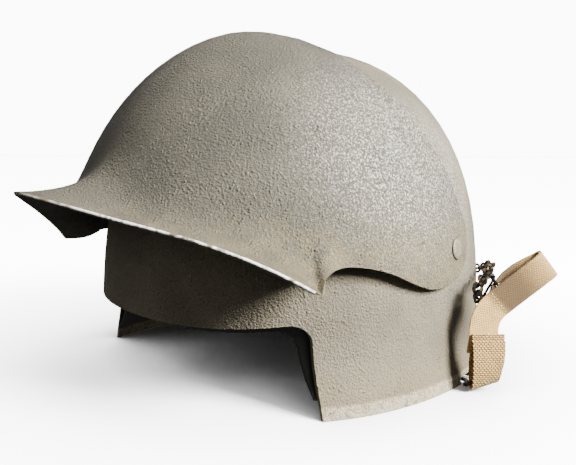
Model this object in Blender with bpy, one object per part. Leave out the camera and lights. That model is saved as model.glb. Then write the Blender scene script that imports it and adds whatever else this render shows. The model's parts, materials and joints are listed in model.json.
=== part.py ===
"""
Deep steel combat helmet: a bowl with a face opening, a brimmed front plate that swings on two
rivets, an inner shell, and a chin strap of webbing and chain slung outside its skirt.

Metres, +Z up. The helmet stands on its rim at Z 0 and faces -Y. The wearer's left is +X.
"""
import math

import bmesh
import bpy
import numpy as np
from mathutils import Matrix, Vector

# The gap that touching pieces keep
SEAT_GAP = 0.0003

# Bowl, measured at its plan's widest level
BOWL_HALF_WIDTH = 0.1138
BOWL_FRONT = 0.0866
BOWL_BACK = 0.1667
BOWL_CENTRE_Y = 0.015
BOWL_APEX_Y = 0.036
BOWL_HEIGHT = 0.197
BOWL_SIDE_Z = 0.050
BOWL_WALL = 0.0016
FRONT_PLAN_POWER = 2.37
BACK_PLAN_POWER = 1.9
DOME_POWER = 2.24
SKIRT_POWER = 2.43
SIDE_SPREAD = 0.045
FRONT_SPREAD = 0.070
CREASE_Z = 0.008
RIM_FLARE = 0.0015

# Face opening, cut across the bowl
OPENING_EDGE_Y = -0.0425
OPENING_TOP_Z = 0.0421
OPENING_SIDE_RISE = 0.0055
OPENING_CORNER_RADIUS = 0.009

# Front plate
PLATE_HALF_WIDTH = 0.1204
PLATE_FRONT = 0.1172
PLATE_BACK = 0.120
PLATE_APEX_Y = -0.0045
PLATE_HEIGHT = 0.2059
PLATE_SIDE_Z = 0.0659
PLATE_PLAN_POWER = 1.97
PLATE_DOME_POWER = 1.866
PLATE_WALL = 0.0016
PLATE_CLEARANCE = 0.0018
PLATE_MERGE = 0.004

# Brim of the front plate
BRIM_HALF_WIDTH = 0.1345
BRIM_TIP_Y = -0.1535
BRIM_TIP_Z = 0.1143
BRIM_CORNER_Y = -0.0676
BRIM_CORNER_Z = 0.0716
BRIM_ROOT_RISE = 0.020
BRIM_FILLET = 0.78

# Brim edge from tip to corner, as shares of its half width, its depth and its fall
BRIM_EDGE = (
    ("across", "back", "down"),
    (0.0, 0.0, 0.0),
    (0.075, 0.045, 0.035),
    (0.197, 0.157, 0.124),
    (0.314, 0.274, 0.222),
    (0.442, 0.390, 0.316),
    (0.584, 0.506, 0.400),
    (0.705, 0.623, 0.506),
    (0.805, 0.739, 0.630),
    (0.893, 0.856, 0.773),
    (0.957, 0.949, 0.916),
    (1.0, 1.0, 1.0),
)

# Pivot of the front plate
PIVOT_Y = 0.0584
PIVOT_Z = 0.0788

# Side edge of the plate from the brim's corner round its lobe to the crown, in side view.
# Shares of the way back to the pivot, of the lobe's drop below the corner and of the brim's flare
LOBE_BOTTOM_Z = 0.0593
CROWN_EDGE_Y = 0.010
SIDE_EDGE = (
    ("back", "up", "flare"),
    (0.046, 1.12, 0.74),
    (0.084, 1.29, 0.55),
    (0.130, 1.43, 0.36),
    (0.201, 1.545, 0.15),
    (0.263, 1.577, 0.04),
    (0.329, 1.504, 0.0),
    (0.391, 1.382, 0.0),
    (0.493, 1.098, 0.0),
    (0.568, 0.740, 0.0),
    (0.660, 0.366, 0.0),
    (0.740, 0.110, 0.0),
    (0.819, 0.0, 0.0),
    (0.900, 0.010, 0.0),
    (0.975, 0.140, 0.0),
    (1.040, 0.440, 0.0),
    (1.088, 0.900, 0.0),
    (1.118, 1.450, 0.0),
    (1.130, 2.220, 0.0),
    (1.095, 3.146, 0.0),
    (1.010, 5.34, 0.0),
)

# Rivets
RIVET_SIDES = 16
RIVET_HEAD_RADIUS = 0.0062
RIVET_HEAD_HEIGHT = 0.0030
RIVET_SHANK_RADIUS = 0.0025
RIVET_TAIL_RADIUS = 0.0048
RIVET_TAIL_HEIGHT = 0.0014
RIVET_TAIL_CLEARANCE = 0.0011
PIVOT_HOLE_PLAY = 0.0011

# Inner shell
LINER_GAP = 0.0065
LINER_WALL = 0.0014
LINER_FOOT_Z = 0.0095
LINER_FORWARD = 0.0005
LINER_DROP = 0.005

# Webbing
WEBBING = 0.0014
STRAP_WIDTH = 0.0163
TAB_WIDTH = 0.0182
TAB_HEIGHT = 0.032
TAB_DEPTH = 0.0102
TAB_BOTTOM_TILT = 0.0047
TAB_BOTTOM_TAPER = 0.18

# Side view of a tab round its bail, from its front end down, round and up to its rear end
TAB_PROFILE = (
    ("out", "up", "low"),
    (0.30, 0.895, 0.0),
    (0.18, 0.70, 0.1),
    (0.08, 0.48, 0.3),
    (0.07, 0.27, 0.7),
    (0.16, 0.11, 0.9),
    (0.36, 0.03, 1.0),
    (0.62, 0.03, 1.0),
    (0.85, 0.11, 1.0),
    (0.95, 0.26, 0.8),
    (0.90, 0.46, 0.5),
    (0.75, 0.64, 0.3),
    (0.56, 0.80, 0.1),
    (0.467, 0.92, 0.0),
    (0.467, 1.0, 0.0),
)

# Place of the near tab beside the skirt, and the heading of its width
NEAR_TAB_X = 0.1295
NEAR_TAB_Y = 0.0510
NEAR_TAB_HEADING = 53.13
TAB_LIFT = 0.0009

# Near strap with its pull loop
STRAP_TOP_OF_RISE = 0.035
STRAP_BEND = 52
STRAP_BEND_RADIUS = 0.019
STRAP_INSET = 0.0060
PULL_LENGTH = 0.0335
PULL_OPENING = 0.0062
PULL_LIFT = 0.0026

# Far strap, round the back of the bowl
BACK_STRAP_Z = 0.048
FAR_TAB_X = 0.1315
FAR_TAB_Y = 0.050
FAR_TAB_HEADING = 113.6

# Way of the far strap round the back of the bowl, from its bend to its metal frame
BACK_WAY = (
    ("turn", "standoff"),
    (-128, 0.0040),
    (-138, 0.0050),
    (-150, 0.0060),
    (-164, 0.0070),
    (-176, 0.0078),
)
STRAP_FOLD = 0.014

# Bails and the clips that hold them inside the skirt
BAIL_WIRE_RADIUS = 0.0013
BAIL_TURN = 116.5
FAR_BAIL_TURN = 110
BAIL_REACH = 0.0045
FAR_BAIL_REACH = 0.0065
BAIL_SPAN = 0.0125
FAR_BAIL_SPAN = 0.024
BAIL_INSIDE = 0.0078
BAIL_INNER_Z = 0.0042
RELIEF_HEIGHT = 0.0038
CLIP_LENGTH = 0.005
CLIP_GAP = 0.0020
CLIP_HEIGHT = 0.0062

# Chain
LINK_LENGTH = 0.0112
LINK_WIDTH = 0.0066
LINK_WIRE = 0.0015
RING_LENGTH = 0.0172
RING_WIDTH = 0.0050
RING_WIRE = 0.0013
RING_TILT = 15
KEEPER_LENGTH = 0.0070
KEEPER_WIDTH = 0.0054
KEEPER_WIRE = 0.0012
EYELET_RADIUS = 0.0012
EYELET_INSET = 0.0026
FRAME_DEPTH = 0.0085
FRAME_WIRE = 0.0018

EYELET_PLACE = 0.20
RING_HEADING = 240

# Way of the chain round the bowl from the near ring to the frame on the far strap
CHAIN_WAY = (
    ("turn", "standoff", "z"),
    (116.5, 0.0115, 0.0575),
    (126, 0.0095, 0.0600),
    (137, 0.0085, 0.0610),
    (148, 0.0080, 0.0580),
    (157, 0.0080, 0.0520),
)
CHAIN_LEAN = 0.4
FRAME_TURN = 166
FRAME_STANDOFF = 0.0080

COLUMNS = 52
BRIM_COLUMNS = 12
HIDDEN_COLUMNS = 8
DOME_ROWS = 8
SKIRT_ROWS = 4
FILLET_ROWS = 6
LINER_COLUMNS = 36


def clear_scene():
    """Empties the file of objects."""
    for obj in list(bpy.data.objects):
        bpy.data.objects.remove(obj, do_unlink=True)


def ease(value):
    """Eases a share from 0 to 1."""
    value = min(max(value, 0.0), 1.0)
    return value * value * (3 - 2 * value)


def even_turns(count):
    """Turns of evenly spaced columns, with a column at the front and one at the back."""
    return [2 * math.pi * column / count for column in range(count)]


def bowl_plan(turn):
    """Point of the bowl's plan at a turn from the front toward +X."""
    to_front = math.cos(turn) > 0
    reach = BOWL_CENTRE_Y + BOWL_FRONT if to_front else BOWL_BACK - BOWL_CENTRE_Y
    power = FRONT_PLAN_POWER if to_front else BACK_PLAN_POWER
    across = abs(math.sin(turn) / BOWL_HALF_WIDTH) ** power
    along = abs(math.cos(turn) / reach) ** power
    radius = (across + along) ** (-1 / power)
    return np.array([radius * math.sin(turn), BOWL_CENTRE_Y - radius * math.cos(turn)])


def dome_level(scale):
    """Height of the bowl where this share of its plan is left."""
    rise = (1 - min(scale, 1.0) ** DOME_POWER) ** (1 / DOME_POWER)
    return BOWL_SIDE_Z + (BOWL_HEIGHT - BOWL_SIDE_Z) * rise


def spread_at(turn):
    """Share by which the skirt is wider than the bowl at its crease."""
    side = abs(math.sin(turn))
    if math.cos(turn) > 0:
        return SIDE_SPREAD + (FRONT_SPREAD - SIDE_SPREAD) * (1 - side) * 2
    return SIDE_SPREAD * side


def bowl_dome_point(turn, scale):
    """Point of the bowl's dome, from the apex at scale 0 to the widest level at 1."""
    apex = np.array([0, BOWL_APEX_Y])
    x, y = apex + (bowl_plan(turn) - apex) * scale
    return np.array([x, y, dome_level(scale)])


def bowl_wall_point(turn, z):
    """Outer point of the bowl below its widest level, down to the rim."""
    centre = np.array([0, BOWL_CENTRE_Y])
    arm = bowl_plan(turn) - centre
    depth = (BOWL_SIDE_Z - max(z, CREASE_Z)) / (BOWL_SIDE_Z - CREASE_Z)
    flare = RIM_FLARE * (CREASE_Z - min(z, CREASE_Z)) / CREASE_Z
    arm = arm * (1 + spread_at(turn) * depth ** SKIRT_POWER + flare / np.linalg.norm(arm))
    return np.array([*(centre + arm), z])


def inside_bowl(point):
    """True where a point lies within the bowl's plain dome and its upright sides."""
    x, y, z = point
    rise = max(z - BOWL_SIDE_Z, 0.0) / (BOWL_HEIGHT - BOWL_SIDE_Z)
    if rise >= 1:
        return False
    left = (1 - rise ** DOME_POWER) ** (1 / DOME_POWER)
    x, y = x / left, BOWL_APEX_Y + (y - BOWL_APEX_Y) / left - BOWL_CENTRE_Y
    reach = BOWL_CENTRE_Y + BOWL_FRONT if y < 0 else BOWL_BACK - BOWL_CENTRE_Y
    power = FRONT_PLAN_POWER if y < 0 else BACK_PLAN_POWER
    return abs(x / BOWL_HALF_WIDTH) ** power + abs(y / reach) ** power <= 1


def inside_plate(point):
    """True where a point lies within the front plate's own dome."""
    x, y, z = point
    rise = max(z - PLATE_SIDE_Z, 0.0) / (PLATE_HEIGHT - PLATE_SIDE_Z)
    if rise >= 1:
        return False
    left = (1 - rise ** PLATE_DOME_POWER) ** (1 / PLATE_DOME_POWER)
    x, y = x / left, PLATE_APEX_Y + (y - PLATE_APEX_Y) / left
    reach = PLATE_FRONT if y < 0 else PLATE_BACK
    return abs(x / PLATE_HALF_WIDTH) ** PLATE_PLAN_POWER + abs(y / reach) ** PLATE_PLAN_POWER <= 1


def reach_along(inside, start, direction):
    """Distance from an inner point to a dome along a direction."""
    low, high = 0.0, 4 * BOWL_HALF_WIDTH
    for _ in range(28):
        middle = (low + high) / 2
        if inside(start + direction * middle):
            low = middle
        else:
            high = middle
    return low


def plate_surface(turn, climb):
    """Outer point of the plate on a ray from within the bowl: its own dome, or the bowl cleared."""
    start = np.array([0, BOWL_CENTRE_Y, PLATE_SIDE_Z])
    level = math.cos(climb)
    direction = np.array([level * math.sin(turn), -level * math.cos(turn), math.sin(climb)])
    own = reach_along(inside_plate, start, direction)
    cleared = reach_along(inside_bowl, start, direction) + PLATE_CLEARANCE + PLATE_WALL
    overlap = max(PLATE_MERGE - abs(own - cleared), 0.0) / PLATE_MERGE
    return start + direction * (max(own, cleared) + overlap ** 2 * PLATE_MERGE / 4)


def plate_point_at(turn, z):
    """Outer point of the plate at a turn and a height."""
    low, high = -math.pi / 2.2, math.pi / 2
    for _ in range(22):
        middle = (low + high) / 2
        if plate_surface(turn, middle)[2] < z:
            low = middle
        else:
            high = middle
    return plate_surface(turn, low), low


def brim_point(share):
    """Point of the brim's edge, from its tip at 0 to its corner at 1."""
    rows = BRIM_EDGE[1:]
    across = share * (len(rows) - 1)
    index = min(int(across), len(rows) - 2)
    part = across - index
    low, high = np.array(rows[index]), np.array(rows[index + 1])
    x, back, down = low + (high - low) * part
    y = BRIM_TIP_Y + (BRIM_CORNER_Y - BRIM_TIP_Y) * back
    return np.array([BRIM_HALF_WIDTH * x, y, BRIM_TIP_Z + (BRIM_CORNER_Z - BRIM_TIP_Z) * down])


def turn_of(point):
    """Turn from the front of a place, seen from the middle of the bowl."""
    return math.atan2(point[0], BOWL_CENTRE_Y - point[1])


def plate_point_at_y(y, z):
    """Outer point of the plate's side at a place along and a height."""
    low, high = math.pi / 4, math.pi
    for _ in range(22):
        middle = (low + high) / 2
        if plate_point_at(middle, z)[0][1] < y:
            low = middle
        else:
            high = middle
    return plate_point_at(low, z)[0]


def side_edge_place(row):
    """Place along and height of one row of the side edge."""
    back, up, _ = row
    y = BRIM_CORNER_Y + (PIVOT_Y - BRIM_CORNER_Y) * back
    return y, LOBE_BOTTOM_Z + (BRIM_CORNER_Z - LOBE_BOTTOM_Z) * up


def plate_feet():
    """Lower end of each column down one half of the plate, from front to back."""
    feet = [brim_point(step / BRIM_COLUMNS) for step in range(BRIM_COLUMNS + 1)]
    corner_wall = plate_point_at_y(BRIM_CORNER_Y, BRIM_CORNER_Z)
    for row in SIDE_EDGE[1:11]:
        y, z = side_edge_place(row)
        point = plate_point_at_y(y, z)
        point[0] += (BRIM_HALF_WIDTH - corner_wall[0]) * row[2]
        feet.append(point)
    start = turn_of(feet[-1])
    low_z = LOBE_BOTTOM_Z - BRIM_ROOT_RISE / 2
    for step in range(1, HIDDEN_COLUMNS + 1):
        turn = start + (math.pi - start) * (step - 0.6) / (HIDDEN_COLUMNS - 0.6)
        feet.append(plate_point_at(turn, low_z)[0])
    return feet


def plate_column(foot):
    """Outer points down one column of the plate, from below the apex to its lower end."""
    turn = turn_of(foot)
    root, climb = plate_point_at(turn, foot[2] + BRIM_ROOT_RISE)
    points = []
    for row in range(1, DOME_ROWS + 1):
        angle = math.pi / 2 + (climb - math.pi / 2) * row / DOME_ROWS
        points.append(plate_surface(turn, angle))
    slope = (points[-1] - points[-2]) / (points[-2][2] - points[-1][2])
    bend = root + slope * BRIM_ROOT_RISE
    flare = min(np.linalg.norm(foot - bend) / BRIM_ROOT_RISE, 1.0)
    upper = root + (bend - root) * (1 / 3 + (BRIM_FILLET - 1 / 3) * flare)
    lower = foot + (bend - foot) * BRIM_FILLET * flare + (root - foot) / 3 * (1 - flare)
    for row in range(1, FILLET_ROWS + 1):
        part = row / FILLET_ROWS
        left = 1 - part
        curve = root * left ** 3 + upper * 3 * part * left ** 2
        points.append(curve + lower * 3 * part ** 2 * left + foot * part ** 3)
    return points


def plate_grid():
    """Outer points of the plate, in rows from below the apex down to the brim's edge."""
    half = [plate_column(foot) for foot in plate_feet()]
    mirror = [[point * np.array([-1, 1, 1]) for point in column] for column in half[1:-1]]
    return np.array(half + mirror[::-1]).transpose(1, 0, 2)


def bowl_grid(turns, foot_z):
    """Outer points of the bowl, in rows from below the apex down to a foot level."""
    rows = []
    for row in range(1, DOME_ROWS + 1):
        scale = math.sin(math.pi / 2 * row / DOME_ROWS)
        rows.append([bowl_dome_point(turn, scale) for turn in turns])
    top_of_rim = max(CREASE_Z, foot_z)
    for row in range(1, SKIRT_ROWS + 1):
        z = BOWL_SIDE_Z + (top_of_rim - BOWL_SIDE_Z) * row / SKIRT_ROWS
        rows.append([bowl_wall_point(turn, z) for turn in turns])
    if foot_z < CREASE_Z:
        rows.append([bowl_wall_point(turn, foot_z) for turn in turns])
    return np.array(rows)


def grid_normals(grid, apex):
    """Outward normals of a grid of rows around a dome."""
    above = np.concatenate([np.broadcast_to(apex, grid[:1].shape), grid[:-1]])
    below = np.concatenate([grid[1:], grid[-1:]])
    across = np.roll(grid, -1, axis=1) - np.roll(grid, 1, axis=1)
    normals = np.cross(below - above, across)
    return normals / np.linalg.norm(normals, axis=2, keepdims=True)


def add_object(name, mesh, material):
    """Puts a mesh into the scene under a name, with its material."""
    obj = bpy.data.objects.new(name, mesh)
    obj.data.materials.append(material)
    bpy.context.collection.objects.link(obj)
    return obj


def finish_mesh(name, work, smooth_angle=40):
    """Turns a bmesh into a mesh whose faces point out."""
    bmesh.ops.recalc_face_normals(work, faces=work.faces)
    mesh = bpy.data.meshes.new(name)
    work.to_mesh(mesh)
    work.free()
    mesh.shade_smooth()
    mesh.set_sharp_from_angle(angle=math.radians(smooth_angle))
    return mesh


def shell_mesh(name, outer, outer_apex, inner, inner_apex):
    """Closed mesh between an outer and an inner grid, joined along the lower edge."""
    work = bmesh.new()
    skins = []
    for grid, apex in ((outer, outer_apex), (inner, inner_apex)):
        top = work.verts.new(apex)
        rows = [[work.verts.new(point) for point in row] for row in grid]
        skins.append(rows)
        count = len(rows[0])
        for column in range(count):
            after = (column + 1) % count
            work.faces.new((top, rows[0][column], rows[0][after]))
            for high, low in zip(rows, rows[1:]):
                work.faces.new((high[column], low[column], low[after], high[after]))
    first, second = skins[0][-1], skins[1][-1]
    for column in range(len(first)):
        after = (column + 1) % len(first)
        work.faces.new((first[column], second[column], second[after], first[after]))
    return finish_mesh(name, work)


def offset_skin(grid, apex, distance):
    """Grid and apex moved inward along the normals."""
    inner = grid - grid_normals(grid, apex) * distance
    return inner, apex - np.array([0, 0, distance])


def hidden_cutter(name, mesh):
    """Cutter object that isn't part of the helmet."""
    cutter = bpy.data.objects.new(name, mesh)
    cutter.hide_render = True
    cutter.display_type = 'WIRE'
    bpy.context.collection.objects.link(cutter)
    return cutter


def prism_across(name, outline, half_width):
    """Cutter of a side-view outline, drawn through the helmet from side to side."""
    work = bmesh.new()
    near = [work.verts.new((half_width, y, z)) for y, z in outline]
    far = [work.verts.new((-half_width, y, z)) for y, z in outline]
    work.faces.new(near)
    work.faces.new(far[::-1])
    for index in range(len(outline)):
        after = (index + 1) % len(outline)
        work.faces.new((near[index], far[index], far[after], near[after]))
    return hidden_cutter(name, finish_mesh(name, work))


def cut(obj, cutter):
    """Subtracts a cutter from an object."""
    modifier = obj.modifiers.new(cutter.name, 'BOOLEAN')
    modifier.operation = 'DIFFERENCE'
    modifier.solver = 'EXACT'
    modifier.object = cutter


def rounded_corner(corner, radius, start_angle, steps=6):
    """Points round a quarter turn of an outline's corner."""
    points = []
    for step in range(steps + 1):
        angle = math.radians(start_angle + 90 * step / steps)
        points.append((corner[0] + radius * math.cos(angle), corner[1] + radius * math.sin(angle)))
    return points


def opening_outline(edge_y, top_z, radius):
    """Side view of the cut for the face: a level brow edge turned down into a straight side."""
    far_y = 2 * BRIM_TIP_Y
    low_z = -BOWL_SIDE_Z
    centre = (edge_y - radius, top_z + OPENING_SIDE_RISE - radius)
    corner = rounded_corner(centre, radius, 0)
    return [(far_y, low_z), (edge_y, low_z)] + corner + [(-BOWL_FRONT, top_z), (far_y, top_z)]


def material(name, color, roughness, metallic):
    """Plain finish of one piece."""
    made = bpy.data.materials.new(name)
    made.use_nodes = True
    shader = made.node_tree.nodes["Principled BSDF"]
    shader.inputs["Base Color"].default_value = (*color, 1)
    shader.inputs["Roughness"].default_value = roughness
    shader.inputs["Metallic"].default_value = metallic
    return made


def make_bowl(paint):
    """Bowl with its skirt and rim band, open at the face."""
    outer = bowl_grid(even_turns(COLUMNS), 0.0)
    apex = np.array([0, BOWL_APEX_Y, BOWL_HEIGHT])
    inner, inner_apex = offset_skin(outer, apex, BOWL_WALL)
    inner[-1, :, 2] = 0.0
    bowl = add_object("bowl", shell_mesh("bowl", outer, apex, inner, inner_apex), paint)
    outline = opening_outline(OPENING_EDGE_Y, OPENING_TOP_Z, OPENING_CORNER_RADIUS)
    cut(bowl, prism_across("face_opening", outline, 2 * BOWL_HALF_WIDTH))
    return bowl


def make_front_plate(paint):
    """Front plate with its brim, side lobes and rear edge."""
    outer = plate_grid()
    apex = plate_surface(0, math.pi / 2)
    inner, inner_apex = offset_skin(outer, apex, PLATE_WALL)
    plate = add_object("front_plate", shell_mesh("front_plate", outer, apex, inner, inner_apex), paint)
    cut(plate, prism_across("plate_back", plate_back_outline(), 2 * BRIM_HALF_WIDTH))
    return plate


def plate_back_outline():
    """Side view of what is cut away below the plate's lobe and behind its rear edge."""
    edge = [side_edge_place(row) for row in SIDE_EDGE[9:]]
    top_z = 1.2 * PLATE_HEIGHT
    lean = (edge[-1][0] - CROWN_EDGE_Y) / (PLATE_HEIGHT - edge[-1][1])
    edge.append((CROWN_EDGE_Y - lean * (top_z - PLATE_HEIGHT), top_z))
    first_y, first_z = edge[0]
    back_y = 2 * BOWL_BACK
    before = (first_y - (edge[1][0] - first_y), first_z - (edge[1][1] - first_z) - 3 * PLATE_WALL)
    return [before] + edge[1:] + [(back_y, top_z), (back_y, -BOWL_WALL), (before[0], -BOWL_WALL)]


def make_liner(paint):
    """Inner shell that hangs clear of the bowl and meets it at the skirt's foot."""
    grid = bowl_grid(even_turns(LINER_COLUMNS), LINER_FOOT_Z)
    apex = np.array([0, BOWL_APEX_Y, BOWL_HEIGHT])
    normals = grid_normals(grid, apex)
    tight = BOWL_WALL + 4 * SEAT_GAP
    gaps = []
    for row in range(len(grid)):
        share = (grid[row, 0, 2] - LINER_FOOT_Z) / (BOWL_SIDE_Z - LINER_FOOT_Z)
        gaps.append(tight + LINER_GAP * math.sin(math.pi / 2 * min(share, 1.0)))
    distance = np.array(gaps)[:, None, None]
    outer = grid - normals * distance
    outer_apex = apex - np.array([0, 0, tight + LINER_GAP])
    outer[-1, :, 2] = LINER_FOOT_Z
    inner = grid - normals * (distance + LINER_WALL)
    inner_apex = outer_apex - np.array([0, 0, LINER_WALL])
    inner[-1, :, 2] = LINER_FOOT_Z
    liner = add_object("inner_shell", shell_mesh("inner_shell", outer, outer_apex, inner, inner_apex), paint)
    outline = opening_outline(OPENING_EDGE_Y - LINER_FORWARD, OPENING_TOP_Z - LINER_DROP, OPENING_CORNER_RADIUS)
    cut(liner, prism_across("liner_opening", outline, 2 * BOWL_HALF_WIDTH))
    return liner


def frame_at(origin, heading):
    """Matrix of a flat upright working plane: along its width, up, and out away from the viewer."""
    along = Vector((math.cos(heading), math.sin(heading), 0))
    out = Vector((-math.sin(heading), math.cos(heading), 0))
    matrix = Matrix.Identity(4)
    for row in range(3):
        matrix[row][0], matrix[row][1], matrix[row][2] = along[row], (0, 0, 1)[row], out[row]
        matrix[row][3] = origin[row]
    return matrix


def band_mesh(name, sections, thickness, join=None):
    """Closed band through sections of a left and a right edge, its end joined to its own back."""
    centres = [(left + right) / 2 for left, right in sections]
    quads = []
    work = bmesh.new()
    last = None
    for index, (left, right) in enumerate(sections):
        before, after = centres[max(index - 1, 0)], centres[min(index + 1, len(centres) - 1)]
        normal = (right - left).cross(after - before).normalized()
        if last and normal.dot(last) < 0:
            normal = -normal
        last = normal
        push = normal * thickness / 2
        corners = (left + push, right + push, right - push, left - push)
        quads.append([work.verts.new(corner) for corner in corners])
    work.faces.new(quads[0])
    if join is None:
        work.faces.new(quads[-1][::-1])
    else:
        low, high = quads[join], quads[join + 1]
        quads.append([low[3], low[2], high[2], high[3]])
    for index, (near, far) in enumerate(zip(quads, quads[1:])):
        for side in range(4):
            if side == 2 and index == join:
                continue
            after = (side + 1) % 4
            work.faces.new((near[side], near[after], far[after], far[side]))
    return finish_mesh(name, work)


def wire_mesh(name, path, normal, radius, sides):
    """Closed loop of round wire along a path, its section turned to a normal."""
    work = bmesh.new()
    rings = []
    count = len(path)
    for index, point in enumerate(path):
        along = (path[(index + 1) % count] - path[index - 1]).normalized()
        across = along.cross(normal).normalized()
        up = across.cross(along)
        ring = []
        for side in range(sides):
            angle = 2 * math.pi * (side + 0.5) / sides
            ring.append(work.verts.new(point + (across * math.cos(angle) + up * math.sin(angle)) * radius))
        rings.append(ring)
    for index in range(count):
        near, far = rings[index], rings[(index + 1) % count]
        for side in range(sides):
            after = (side + 1) % sides
            work.faces.new((near[side], near[after], far[after], far[side]))
    return finish_mesh(name, work, 60)


def stadium(centre, long_axis, short_axis, length, width, wire, arc_steps=4):
    """Middle line of a long round-ended link from its outer sizes."""
    radius = (width - wire) / 2
    straight = (length - width) / 2
    path = []
    for end in (1, -1):
        for step in range(arc_steps + 1):
            angle = math.pi * (step / arc_steps - 0.5)
            along = end * (straight + radius * math.cos(angle))
            path.append(centre + long_axis * along + short_axis * (end * radius * math.sin(angle)))
    return path


def rounded(path, rounds):
    """Closed path with its corners cut down in turns."""
    for _ in range(rounds):
        cut_path = []
        for index, point in enumerate(path):
            after = path[(index + 1) % len(path)]
            cut_path.append(point.lerp(after, 0.25))
            cut_path.append(point.lerp(after, 0.75))
        path = cut_path
    return path


def mirrored(point):
    """The same place on the wearer's right."""
    return Vector((-point[0], point[1], point[2]))


def plan_normal(turn):
    """Outward level direction of the bowl's wall at a turn."""
    step = 0.01
    along = bowl_plan(turn + step) - bowl_plan(turn - step)
    normal = Vector((-along[1], along[0], 0)).normalized()
    if normal.x * math.sin(turn) - normal.y * math.cos(turn) < 0:
        normal = -normal
    return normal


def beside_bowl(turn, standoff, z):
    """Place outside the bowl's plain side at a turn, a distance from it and a height."""
    x, y = bowl_plan(turn)
    return Vector((x, y, z)) + plan_normal(turn) * standoff


def lathe_mesh(name, profile, place, axis, sides):
    """Closed round body from radii and places along an axis."""
    side = axis.orthogonal().normalized()
    other = axis.cross(side)
    work = bmesh.new()
    rings = []
    for radius, along in profile[1:-1]:
        ring = []
        for index in range(sides):
            angle = 2 * math.pi * index / sides
            arm = side * math.cos(angle) + other * math.sin(angle)
            ring.append(work.verts.new(place + axis * along + arm * radius))
        rings.append(ring)
    first = work.verts.new(place + axis * profile[0][1])
    last = work.verts.new(place + axis * profile[-1][1])
    for index in range(sides):
        after = (index + 1) % sides
        work.faces.new((first, rings[0][index], rings[0][after]))
        work.faces.new((last, rings[-1][after], rings[-1][index]))
        for near, far in zip(rings, rings[1:]):
            work.faces.new((near[index], far[index], far[after], near[after]))
    return finish_mesh(name, work)


def rivet_place():
    """Place on the plate's outer face over the pivot, and its outward direction."""
    place = plate_point_at_y(PIVOT_Y, PIVOT_Z)
    step = BOWL_WALL
    along = plate_point_at_y(PIVOT_Y + step, PIVOT_Z) - plate_point_at_y(PIVOT_Y - step, PIVOT_Z)
    up = plate_point_at_y(PIVOT_Y, PIVOT_Z + step) - plate_point_at_y(PIVOT_Y, PIVOT_Z - step)
    axis = Vector(along).cross(Vector(up)).normalized()
    if axis.x < 0:
        axis = -axis
    return Vector(place), axis


def make_rivet(name, side, steel, bowl, plate):
    """Rivet of one side, with its hole in the plate and a loose hole in the bowl."""
    place, axis = rivet_place()
    if side < 0:
        place, axis = mirrored(place), mirrored(axis)
    through = PLATE_WALL + PLATE_CLEARANCE + BOWL_WALL
    base = 2 * SEAT_GAP
    tail = -through - RIVET_TAIL_CLEARANCE
    profile = [(0, base + RIVET_HEAD_HEIGHT)]
    for degrees in (25, 50, 70, 85):
        angle = math.radians(degrees)
        radius = RIVET_HEAD_RADIUS * math.sin(angle)
        profile.append((radius, base + RIVET_HEAD_HEIGHT * (0.15 + 0.85 * math.cos(angle))))
    profile += [
        (RIVET_HEAD_RADIUS, base),
        (RIVET_SHANK_RADIUS, base),
        (RIVET_SHANK_RADIUS, tail),
        (RIVET_TAIL_RADIUS, tail),
        (RIVET_TAIL_RADIUS * 0.8, tail - RIVET_TAIL_HEIGHT),
        (0, tail - RIVET_TAIL_HEIGHT),
    ]
    add_object(name, lathe_mesh(name, profile, place, axis, RIVET_SIDES), steel)
    for body, play in ((plate, SEAT_GAP), (bowl, PIVOT_HOLE_PLAY)):
        radius = RIVET_SHANK_RADIUS + play
        ends = [(0, 3 * BOWL_WALL), (radius, 3 * BOWL_WALL), (radius, 1.3 * tail), (0, 1.3 * tail)]
        hole = lathe_mesh(f"{body.name}_hole_{name}", ends, place, axis, RIVET_SIDES)
        cut(body, hidden_cutter(hole.name, hole))


def tab_sections(frame):
    """Edges of a tab down its front, round its bail and up its back."""
    sections = []
    for out, up, low in TAB_PROFILE[1:]:
        depth = TAB_DEPTH * out
        height = TAB_LIFT + TAB_HEIGHT * up
        width = TAB_WIDTH * (1 - TAB_BOTTOM_TAPER * low)
        left = frame @ Vector((0, height, depth))
        right = frame @ Vector((width, height + TAB_BOTTOM_TILT * low, depth))
        sections.append((left, right))
    return sections


def strap_foot():
    """Depths and heights of a strap's middle line where it lies against its tab's rear layer."""
    foot = []
    for out, up, low in TAB_PROFILE[-4:]:
        lean = 1.25 if up < 0.9 else 1.0
        foot.append((TAB_DEPTH * out + (WEBBING + SEAT_GAP) * lean, TAB_LIFT + TAB_HEIGHT * up))
    return foot


def across_strap(along, height, out, degrees):
    """Left and right edges of a strap about a place on its middle line, at its heading."""
    angle = math.radians(degrees)
    half = Vector((math.sin(angle), -math.cos(angle), 0)) * STRAP_WIDTH / 2
    centre = Vector((along, height, out))
    return centre - half, centre + half


def bend_path(middle, start, depth, turned, steps, radius):
    """Middle line of a flat bend in a strap, from straight up to its turned heading."""
    path = []
    for step in range(1, steps + 1):
        angle = math.radians(turned * step / steps)
        along = middle + radius * (1 - math.cos(angle))
        height = start + radius * math.sin(angle)
        path.append((along, height, depth, 90 - math.degrees(angle)))
    return path


def pull_place(base, share, out, lift):
    """Place on the pull loop's middle line at a share of its length."""
    heading = math.radians(90 - STRAP_BEND)
    along = base[0] + math.cos(heading) * PULL_LENGTH * share - math.sin(heading) * lift
    height = base[1] + math.sin(heading) * PULL_LENGTH * share + math.cos(heading) * lift
    return along, height, base[2] + out, 90 - STRAP_BEND


def back_layer(base, share):
    """Place on the rear layer of the pull loop, which stands off the front one toward its end."""
    out = WEBBING + (PULL_OPENING - WEBBING) * math.sin(math.pi / 2 * min(share / 0.55, 1.0))
    return pull_place(base, share, out, PULL_LIFT * math.sin(math.pi * share))


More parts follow.
